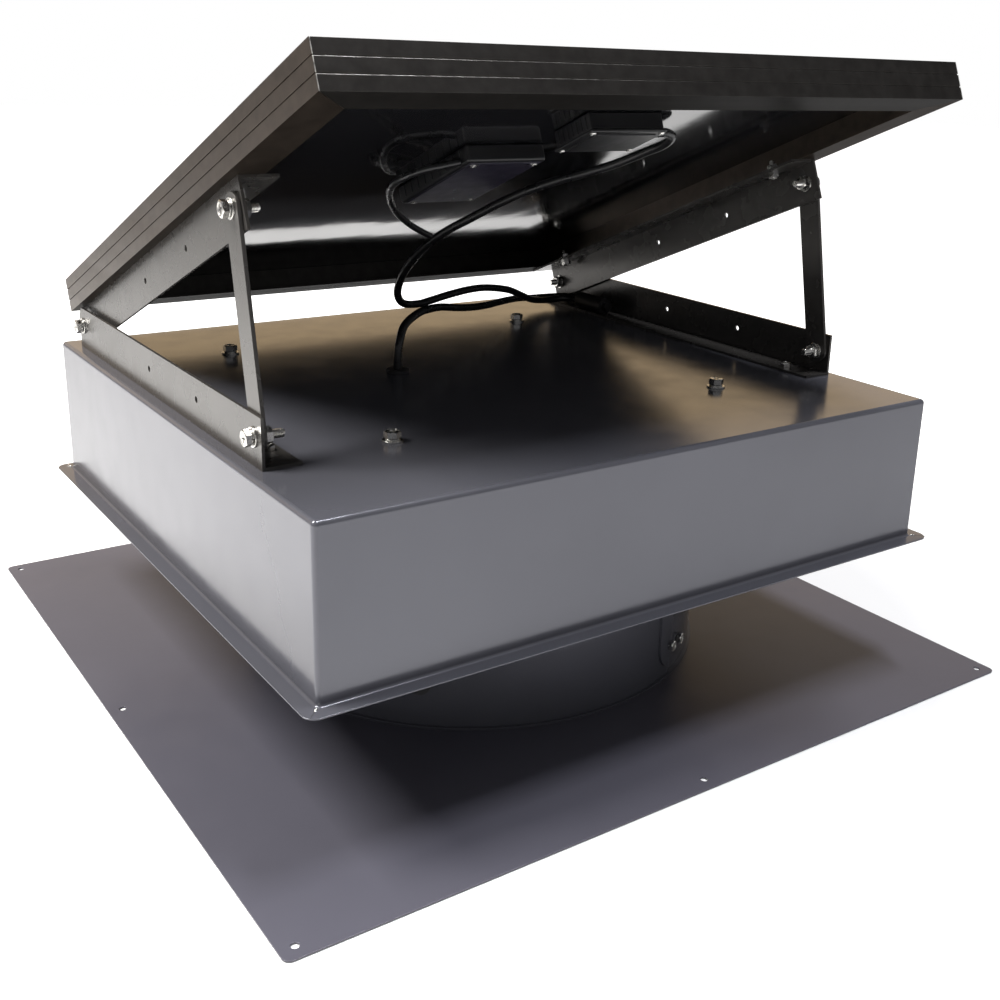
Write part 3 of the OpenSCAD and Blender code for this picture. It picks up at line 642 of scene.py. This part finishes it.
def add_fasteners():
    bolts("hood_bolts", "root", M6, lambda p: UP, head=HOOD_HEAD)
    bolts("foot_screws", "root", M5, lambda p: UP)
    bolts("leg_bolts", "root", M5, radial)
    bolts("bracket_bolts", "root", M6, outward_x)
    bolts("strut_top_bolts", "panel", M6, outward_x, space=PANEL)
    bolts("panel_bolts", "panel", M5, lambda p: DOWN, space=PANEL)

    nuts("bracket_nuts", "root", lambda p: M6, outward_x)
    nuts("leg_nuts", "root", lambda p: M5, radial)
    nuts("hood_nuts", "root", lambda p: M6 if span(p, 0) > M6_NUT_SPAN else M5, lambda p: UP)
    nuts("panel_nuts", "panel", lambda p: M6 if span(p, 1) > M6_NUT_SPAN else M5,
         lambda p: outward_x(p) if lies_along_x(p) else UP, space=PANEL)
    add_washers("hood_washers", "root", "hood_bolts", lambda p: UP, HOOD_HEAD, HOOD_WASHER)
    add_washers("bracket_washers", "root", "bracket_bolts", outward_x, M6["head"], HINGE_WASHER,
                far="bracket_nuts")
    add_washers("strut_top_washers", "panel", "strut_top_bolts", outward_x, M6["head"],
                HINGE_WASHER, far="panel_nuts", space=PANEL)


def span(points, axis):
    """Size of a solid along one axis."""
    values = [p[axis] for p in points]
    return max(values) - min(values)


def lies_along_x(points):
    """Whether a nut's axis is along X: it is then no thicker than a nut's height."""
    return span(points, 0) < 5.5 * MM


def add_washers(node, body, bolt_node, out, head, outer, far=None, space=WORLD):
    """A flat and a spring washer under each head, and a flat one against each far nut."""
    shape = Shape()
    for points in solids(bolt_node, space):
        place, _ = along(points, out(points), head)
        shape.place = place
        washer(shape, outer, WASHER_BORE, -SPRING_T - FLAT_T, -SPRING_T)
        spring_washer(shape, SPRING_OUTER, WASHER_BORE, -SPRING_T, 0)
    for points in solids(far, space) if far else []:
        if not lies_along_x(points) or span(points, 1) < M6_NUT_SPAN:
            continue
        place, _ = along(points, outward_x(points), 0)
        shape.place = place
        washer(shape, outer, WASHER_BORE, NUT_GAP, FLAT_T + NUT_GAP)
    return shape.piece(node + "_cut", body, "zinc", [node], at=space)


add_fasteners()


# ---------- hood ----------

def rounded_loop(half_x, half_y, radius, z, corner=8):
    """Points round a rectangle with round corners."""
    ring = []
    for k, (sx, sy) in enumerate([(1, 1), (-1, 1), (-1, -1), (1, -1)]):
        for i in range(corner + 1):
            a = math.pi / 2 * (k + i / corner)
            ring.append((sx * (half_x - radius) + radius * math.cos(a),
                         sy * (half_y - radius) + radius * math.sin(a), z))
    return ring


def add_hood():
    """Folded cover: round top edges, straight walls and a turned-out lower edge."""
    low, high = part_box("hood_cover")
    lip = 11 * MM
    sheet = 1.2 * MM
    half_x = high.x - lip
    half_y = high.y - lip
    top_bend = 3.4 * MM
    foot_bend = 1.8 * MM
    bottom, top = low.z, high.z
    steps = 5
    profile = []
    for i in range(steps + 1):
        a = math.pi / 2 * i / steps
        profile.append((-top_bend + top_bend * math.sin(a), top - top_bend * (1 - math.cos(a))))
    for i in range(steps + 1):
        a = math.pi / 2 * i / steps
        profile.append((foot_bend * (1 - math.cos(a)),
                        bottom + sheet + foot_bend * (1 - math.sin(a))))
    edge = 0.3 * MM
    profile += [(lip - edge, bottom + sheet), (lip, bottom + sheet - edge),
                (lip, bottom + edge), (lip - edge, bottom)]
    for i in range(steps + 1):
        a = math.pi / 2 * (1 - i / steps)
        wide = foot_bend + sheet
        profile.append((foot_bend - wide * math.cos(a), bottom + wide * (1 - math.sin(a))))
    for i in range(steps + 1):
        a = math.pi / 2 * (1 - i / steps)
        tight = top_bend - sheet
        profile.append((-top_bend + tight * math.sin(a), top - top_bend + tight * math.cos(a)))
    shape = Shape()
    rings = []
    for offset, z in profile:
        radius = max(0.2 * MM, top_bend + offset) if offset <= 0 else top_bend + offset * 0.5
        rings.append(rounded_loop(half_x + offset, half_y + offset, radius, z))
    shape.loft(rings)
    shape.piece("hood_shell", "root", "powder_coat", ["hood_cover"], sharp=50)
    add_mitres(half_x, half_y, lip, bottom + sheet)


def add_mitres(half_x, half_y, lip, z):
    """Mitre seam across the turned-out edge at each corner, with a weld at its inner end."""
    seams = Shape()
    welds = Shape()
    for sx in (-1, 1):
        for sy in (-1, 1):
            turn = Matrix.Rotation(math.atan2(sy, sx), 4, "Z")
            corner = Matrix.Translation((sx * (half_x + 0.6 * MM), sy * (half_y + 0.6 * MM), z))
            seams.place = corner @ turn
            seams.block((0.6 * MM, -0.22 * MM, -0.1 * MM), (lip * 1.08, 0.22 * MM, 0.06 * MM),
                        0.04 * MM, 1)
            for x, r in ((0.9 * MM, 1.0 * MM), (2.9 * MM, 0.7 * MM)):
                welds.place = corner @ turn @ Matrix.Translation((x, 0, 0.1 * MM))
                welds.loft([circle(r * math.cos(a), r * 0.7 * math.sin(a), 16)
                            for a in (math.radians(d) for d in (-30, 0, 30, 60, 80))])
    seams.piece("hood_mitre_seams", "root", "rubber")
    welds.piece("hood_mitre_welds", "root", "zinc")


add_hood()


# ---------- panel ----------

def panel_box(node):
    """Lowest and highest corner of a node in the panel's own axes."""
    points = [PANEL.inverted() @ v.co for v in NODES[node].data.vertices]
    low = Vector(min(p[i] for p in points) for i in range(3))
    high = Vector(max(p[i] for p in points) for i in range(3))
    return low, high


def add_backsheet():
    """Black film that hangs slightly uneven under the cells."""
    low, high = panel_box("backsheet")
    count = 150
    shape = Shape()
    rows = []
    for j in range(count + 1):
        y = low.y + (high.y - low.y) * j / count
        row = []
        for i in range(count + 1):
            x = low.x + (high.x - low.x) * i / count
            edge = min(i, j, count - i, count - j) / 12
            swell = noise.noise(Vector((x * 9, y * 6, 1.7))) * 0.30
            ripple = noise.noise(Vector((x * 42, y * 34, 5.1))) * 0.055
            row.append((x, y, low.z + (0.18 + swell + ripple) * MM * min(1, edge)))
        rows.append(row)
    for row in rows:
        shape.points += [Vector(p) for p in row]
    wide = count + 1
    for j in range(count):
        for i in range(count):
            a = j * wide + i
            shape.faces.append((a, a + wide, a + wide + 1, a + 1))
    rim = [i for i in range(wide)] + [j * wide + count for j in range(1, wide)]
    rim += [count * wide + i for i in range(count - 1, -1, -1)]
    rim += [j * wide for j in range(count - 1, 0, -1)]
    first = len(shape.points)
    top = high.z - 0.02 * MM
    shape.points += [Vector((shape.points[k].x, shape.points[k].y, top)) for k in rim]
    size = len(rim)
    for k in range(size):
        n = (k + 1) % size
        shape.faces.append((rim[k], rim[n], first + n, first + k))
    shape.faces.append(tuple(first + k for k in range(size)))
    shape.piece("backsheet_film", "panel", "backsheet", ["backsheet"], at=PANEL, sharp=60)


def add_cells():
    """Cells with cut corners in place of the plain tiles."""
    shape = Shape()
    cut = 9 * MM
    for points in solids("solar_cells", PANEL):
        low = Vector(min(p[i] for p in points) for i in range(3))
        high = Vector(max(p[i] for p in points) for i in range(3))
        outline = [(low.x + cut, low.y), (high.x - cut, low.y), (high.x, low.y + cut),
                   (high.x, high.y - cut), (high.x - cut, high.y), (low.x + cut, high.y),
                   (low.x, high.y - cut), (low.x, low.y + cut)]
        shape.loft([[(x, y, z) for x, y in outline] for z in (low.z, high.z - 0.05 * MM)])
    shape.piece("cell_tiles", "panel", "silicon", ["solar_cells"], at=PANEL)
    low, high = panel_box("panel_glass")
    pane = Shape()
    pane.block((low.x, low.y, low.z + 0.1 * MM), (high.x, high.y, high.z), 0.4 * MM, 2)
    pane.piece("glass_pane", "panel", "panel_glass", ["panel_glass"], at=PANEL)


def add_junction_box():
    """Ribbed box with a stepped lid, corner screws and a grooved gland."""
    top = panel_box("junction_box")[1].z
    lid_low, lid_high = panel_box("junction_box_lid")
    step = 1.5 * MM
    left = lid_low.x + step
    right = lid_high.x - step
    box = Shape()
    box.block((left, lid_low.y + step, lid_high.z), (right, lid_high.y - step, top), 1.2 * MM)
    ribs = 7
    for i in range(ribs):
        y = lid_low.y + 6 * MM + (lid_high.y - lid_low.y - 12 * MM) * i / (ribs - 1)
        for x in (left, right):
            box.block((x - 0.7 * MM, y - 0.8 * MM, lid_high.z + 1.2 * MM),
                      (x + 0.7 * MM, y + 0.8 * MM, top - 1.5 * MM), 0.3 * MM, 2)
    box.piece("junction_box_body", "panel", "black_plastic", ["junction_box"], at=PANEL)

    lid = Shape()
    lid.block(lid_low, lid_high, 1.0 * MM)
    lid.block((lid_low.x + 6 * MM, lid_low.y + 6 * MM, lid_low.z - 0.7 * MM),
              (lid_high.x - 6 * MM, lid_high.y - 6 * MM, lid_low.z + 0.6 * MM), 0.5 * MM)
    lid.piece("junction_box_cover", "panel", "black_plastic", ["junction_box_lid"], at=PANEL)

    small_screws("junction_box_screws", lid_low, lid_high, lid_low.z + 0.1 * MM, 3.4 * MM)

    start = Vector(PANEL_ROUTE[0])
    neck = Shape(Matrix.Translation(start) @ Matrix.Rotation(math.pi / 2, 4, "Y"))
    length = 10 * MM
    rings = [circle(3.9 * MM, -length, 32)]
    grooves = 5
    for i in range(grooves):
        z = -length + length * 0.85 * (i + 0.3) / grooves
        outer = 4.2 * MM - 0.15 * MM * i
        inner = outer - 0.7 * MM
        rings += [circle(outer, z, 32), circle(outer, z + 1.0 * MM, 32),
                  circle(inner, z + 1.1 * MM, 32), circle(inner, z + 1.5 * MM, 32)]
    rings += [circle(3.2 * MM, -0.5 * MM, 32), circle(3.0 * MM, 0, 32)]
    neck.loft(rings)
    neck.piece("junction_box_gland", "panel", "rubber")


def add_controller():
    """Ribbed black box with a plate set in its face, held by four screws; the plate's lighter
    purple-grey paints the light that the face reflects.
    """
    low, high = panel_box("controller_box")
    rim = 3 * MM
    proud = 0.6 * MM
    box = Shape()
    box.block(low, high, 2.2 * MM, 4)
    ribs = 9
    for i in range(ribs):
        y = low.y + (high.y - low.y) * (i + 1) / (ribs + 1)
        for x in (low.x, high.x):
            box.block((x - 0.5 * MM, y - 0.9 * MM, low.z + 3 * MM),
                      (x + 0.5 * MM, y + 0.9 * MM, high.z - 1 * MM), 0.3 * MM, 2)
    box.piece("controller_body", "panel", "black_plastic", ["controller_box"], at=PANEL)
    plate = Shape()
    plate.block((low.x + rim, low.y + rim, low.z - proud),
                (high.x - rim, high.y - rim, low.z + 1 * MM), 0.4 * MM)
    # Its lighter colour is painted light reflected from the face.
    plate.piece("controller_plate", "panel", "grey_plastic", at=PANEL)
    small_screws("controller_screws", low, high, low.z - proud + 0.1 * MM, 7 * MM)


def small_screws(name, low, high, z, inset):
    """Cross-recessed screws near the four corners of a face that looks along -Z."""
    screws = Shape()
    for x in (low.x + inset, high.x - inset):
        for y in (low.y + inset, high.y - inset):
            turn = Matrix.Rotation(math.pi, 4, "X")
            screws.place = Matrix.Translation((x, y, z)) @ turn
            screws.loft([circle(2.2 * MM, 0, 32), circle(2.2 * MM, 0.5 * MM, 32),
                         circle(1.7 * MM, 1.0 * MM, 32), cross(1.3 * MM, 1.0 * MM, 32),
                         cross(0.9 * MM, 0.4 * MM, 32)])
    screws.piece(name, "panel", "zinc", at=PANEL)


# ---------- leads ----------

def metres(route):
    return [tuple(c * MM for c in point) for point in route]


PANEL_ROUTE = metres([
    (56, -140, 411), (61, -140, 411), (67, -140, 411), (76, -136, 408), (80, -124, 402),
    (76, -107, 395), (63, -88, 385), (48, -70, 377), (34, -53, 370), (20, -38, 362),
    (7, -22, 352), (-6, -5, 340), (-17, 14, 328), (-24, 31, 316), (-28, 50, 300),
    (-29, 66, 284), (-25, 80, 268), (-14, 90, 257), (4, 96, 254), (20, 101, 255),
    (41, 107, 257), (68, 116, 258), (93, 126, 256), (126, 141, 249), (150, 155, 240),
    (170, 166, 232), (188, 174, 228), (204, 176, 227), (215, 174, 228), (222, 167, 228),
    (223.5, 158, 228)])
FAN_ROUTE = metres([
    (-58, 20, 219), (-58, 20, 232), (-55, 22, 243), (-46, 30, 253), (-25, 45, 258),
    (-5, 60, 257), (15, 75, 254), (42, 92, 248), (70, 110, 243), (95, 126, 240),
    (116, 141, 238), (142, 160, 235), (164, 175, 232), (185, 184, 229), (205, 187, 228),
    (220, 183, 228), (229, 174, 228), (230.5, 158, 228)])
MOTOR_ROUTE = metres([
    (-58, 20, 219), (-58, 20, 208), (-62, 12, 199), (-72, -8, 194), (-86, -32, 192),
    (-102, -62, 190), (-116, -92, 184), (-127, -118, 174), (-133, -137, 158),
    (-134, -143, 138), (-134, -142, 112), (-134, -142, 84), (-134, -142, 60),
    (-132, -140, 46), (-126, -134, 37), (-114, -121, 36), (-96, -102, 35), (-76, -81, 35),
    (-58, -61, 37), (-44, -46, 39), (-35, -37, 40), (-26, -28, 40)])
CONTROLLER_ROUTE = metres([
    (-73, -93, 390), (-84, -92, 388), (-96, -87, 385), (-104, -77, 380), (-105, -62, 374),
    (-98, -42, 366), (-85, -20, 356), (-69, 0, 345), (-52, 13, 335), (-38, 20, 328),
    (-27, 23, 323)])


def smooth(route, steps=6):
    """Points of a smooth curve through a route."""
    points = [Vector(p) for p in route]
    last = len(points) - 1
    line = []
    for i in range(last):
        p0, p1 = points[max(i - 1, 0)], points[i]
        p2, p3 = points[i + 1], points[min(i + 2, last)]
        for k in range(steps):
            t = k / steps
            line.append(0.5 * (2 * p1 + (p2 - p0) * t
                               + (2 * p0 - 5 * p1 + 4 * p2 - p3) * t * t
                               + (3 * p1 - p0 - 3 * p2 + p3) * t * t * t))
    return line + [points[-1]]


def lead(name, route, diameter, body, node):
    """Cable along a route: a round tube whose section doesn't twist."""
    line = smooth(route)
    sides = 16
    forward = (line[1] - line[0]).normalized()
    side = forward.orthogonal().normalized()
    rings = []
    for i, point in enumerate(line):
        ahead = (line[min(i + 1, len(line) - 1)] - line[max(i - 1, 0)]).normalized()
        side = (side - side.dot(ahead) * ahead).normalized()
        up = ahead.cross(side)
        rings.append([point + diameter / 2 * (side * math.cos(a) + up * math.sin(a))
                      for a in (2 * math.pi * k / sides for k in range(sides))])
    shape = Shape()
    shape.loft(rings)
    obj = shape.piece(name, body, "cable_jacket", [node], sharp=50)
    return obj


LEAD_D = 6.5 * MM
THIN_LEAD_D = 5 * MM


def add_leads():
    falling = lead("panel_cable", PANEL_ROUTE, LEAD_D, None, "panel_lead")
    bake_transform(falling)
    loop = lead("controller_cable", CONTROLLER_ROUTE, THIN_LEAD_D, None, "controller_lead")
    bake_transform(loop)
    lead("fan_cable", FAN_ROUTE, LEAD_D, "root", "fan_lead")
    lead("motor_cable", MOTOR_ROUTE, LEAD_D, "root", "motor_lead")


add_leads()
add_backsheet()
add_cells()
add_junction_box()
add_controller()


# ---------- CAD nodes that stay ----------

def dress_all():
    kept = {
        "powder_coat": ["throat_collar", "hood_leg_front", "hood_leg_right", "hood_leg_rear",
                        "hood_leg_left"],
        "bracket_coat": ["strut_left", "strut_right"],
        "black_steel": ["motor_arm_lower", "motor_arm_upper"],
        "zinc": ["hinge_spacers", "motor_screws", "hub_fasteners"],
        "motor_steel": ["motor_base_plate", "motor_can", "motor_end_cap", "motor_bearings",
                        "motor_shaft"],
        "lamination": ["stator_core", "rotor_magnets"],
        "copper": ["stator_coils"],
        "rubber": ["motor_isolators", "cable_grommets"],
        "sleeve": ["splice_cap"],
        "fan_metal": ["fan_hub", "fan_blades"],
        "black_aluminium": ["frame_rear"],
        "key_aluminium": ["corner_keys"],
    }
    for slot, names in kept.items():
        for name in names:
            dress(name, slot)
    for name in ("lower_angle_left", "lower_angle_right", "upper_angle_left",
                 "upper_angle_right"):
        dress(name, "bracket_coat", bevel=0.7)
    # Side rails in the lighter copy of the rail colour, which paints light on them.
    for name in ("frame_left", "frame_right"):
        dress(name, "black_aluminium", material=LIT_SIDE_RAIL)
    dress("frame_front", "black_aluminium", material=FRONT_RAIL)
    dress("flashing_plate", "powder_coat", material=PLATE_COAT)
    dress("wire_guard", "zinc", bevel=0)


dress_all()


# ---------- stage and light ----------

def area_light(name, place, aim, size, power, colour=(1, 1, 1), size_y=None):
    data = bpy.data.lights.new(name, "AREA")
    data.energy = power
    data.color = colour
    data.shape = "RECTANGLE"
    data.size = size
    data.size_y = size_y or size
    obj = bpy.data.objects.new(name, data)
    bpy.context.collection.objects.link(obj)
    obj.location = place
    obj.rotation_euler = (Vector(aim) - Vector(place)).to_track_quat("-Z", "Y").to_euler()
    obj.visible_camera = False
    return obj


def add_stage():
    mesh = bpy.data.meshes.new("floor")
    reach = 9.0
    mesh.from_pydata([(-reach, -reach, 0), (reach, -reach, 0), (reach, reach, 0),
                      (-reach, reach, 0)], [], [(0, 1, 2, 3)])
    floor = bpy.data.objects.new("floor", mesh)
    bpy.context.collection.objects.link(floor)
    floor.location.z = cad_low.z - 0.3 * MM
    paper = surface("floor", (0.86, 0.86, 0.85), 0.0, 0.75, share=0.02, mottle=2)
    mesh.materials.append(paper)
    brighten_far(paper)
    add_world()
    area_light("window", (-1.20, 0.35, 1.7), (-0.60, 0.30, 0.0), 0.8, 76, (1.0, 0.98, 0.95))
    area_light("ceiling", (0.5, -0.38, 2.3), (0.0, -0.1, 0.1), 1.0, 52, (0.95, 0.96, 1.0), 0.16)
    bpy.context.scene.view_settings.view_transform = "Standard"


def brighten_far(material):
    """Lets the floor glow away from the object, so that it runs into the white background.

    What the object mirrors glows less than what the camera sees.
    """
    tree = material.node_tree
    shader = shader_of(material)
    coords = add(tree, "ShaderNodeTexCoord")
    reach = add(tree, "ShaderNodeVectorMath", {0: coords.outputs["Object"]},
                operation="LENGTH")
    glow = add(tree, "ShaderNodeMapRange", {
        "Value": reach.outputs["Value"], "From Min": 0.38, "From Max": 0.85,
        "To Min": 0.0, "To Max": 0.9})
    path = add(tree, "ShaderNodeLightPath")
    share = add(tree, "ShaderNodeMapRange", {
        "Value": path.outputs["Is Camera Ray"], "To Min": 0.12, "To Max": 1.0})
    strength = add(tree, "ShaderNodeMath", {
        0: glow.outputs["Result"], 1: share.outputs["Result"]}, operation="MULTIPLY")
    shader.inputs["Emission Color"].default_value = (1, 1, 1, 1)
    tree.links.new(strength.outputs[0], shader.inputs["Emission Strength"])


def add_world():
    """Soft grey room with a tan wall to the rear, and plain white where the camera sees it."""
    world = bpy.data.worlds.new("studio")
    bpy.context.scene.world = world
    world.use_nodes = True
    tree = world.node_tree
    tree.nodes.clear()
    out = tree.nodes.new("ShaderNodeOutputWorld")
    coords = add(tree, "ShaderNodeTexCoord")
    axes = add(tree, "ShaderNodeSeparateXYZ", {"Vector": coords.outputs["Generated"]})
    rearward = add(tree, "ShaderNodeVectorMath", {
        0: coords.outputs["Generated"], 1: (0.45, 0.89, 0)}, operation="DOT_PRODUCT")
    side = add(tree, "ShaderNodeMapRange", {
        "Value": rearward.outputs["Value"], "From Min": 0.3, "From Max": 0.8})
    rising = add(tree, "ShaderNodeMapRange", {
        "Value": axes.outputs["Z"], "From Min": 0.06, "From Max": 0.12})
    ending = add(tree, "ShaderNodeMapRange", {
        "Value": axes.outputs["Z"], "From Min": 0.34, "From Max": 0.42,
        "To Min": 1, "To Max": 0})
    band = add(tree, "ShaderNodeMath", {
        0: rising.outputs["Result"], 1: ending.outputs["Result"]}, operation="MULTIPLY")
    wall = add(tree, "ShaderNodeMath", {
        0: band.outputs[0], 1: side.outputs["Result"]}, operation="MULTIPLY")
    colour = blended(tree, wall.outputs[0], (0.27, 0.27, 0.28, 1), (0.95, 0.70, 0.42, 1))
    light = add(tree, "ShaderNodeBackground", {"Color": colour, "Strength": 1.0})
    white = add(tree, "ShaderNodeBackground", {"Color": (1, 1, 1, 1), "Strength": 1.0})
    path = add(tree, "ShaderNodeLightPath")
    pick = add(tree, "ShaderNodeMixShader", {0: path.outputs["Is Camera Ray"]})
    tree.links.new(light.outputs[0], pick.inputs[1])
    tree.links.new(white.outputs[0], pick.inputs[2])
    tree.links.new(pick.outputs[0], out.inputs[0])


add_stage()
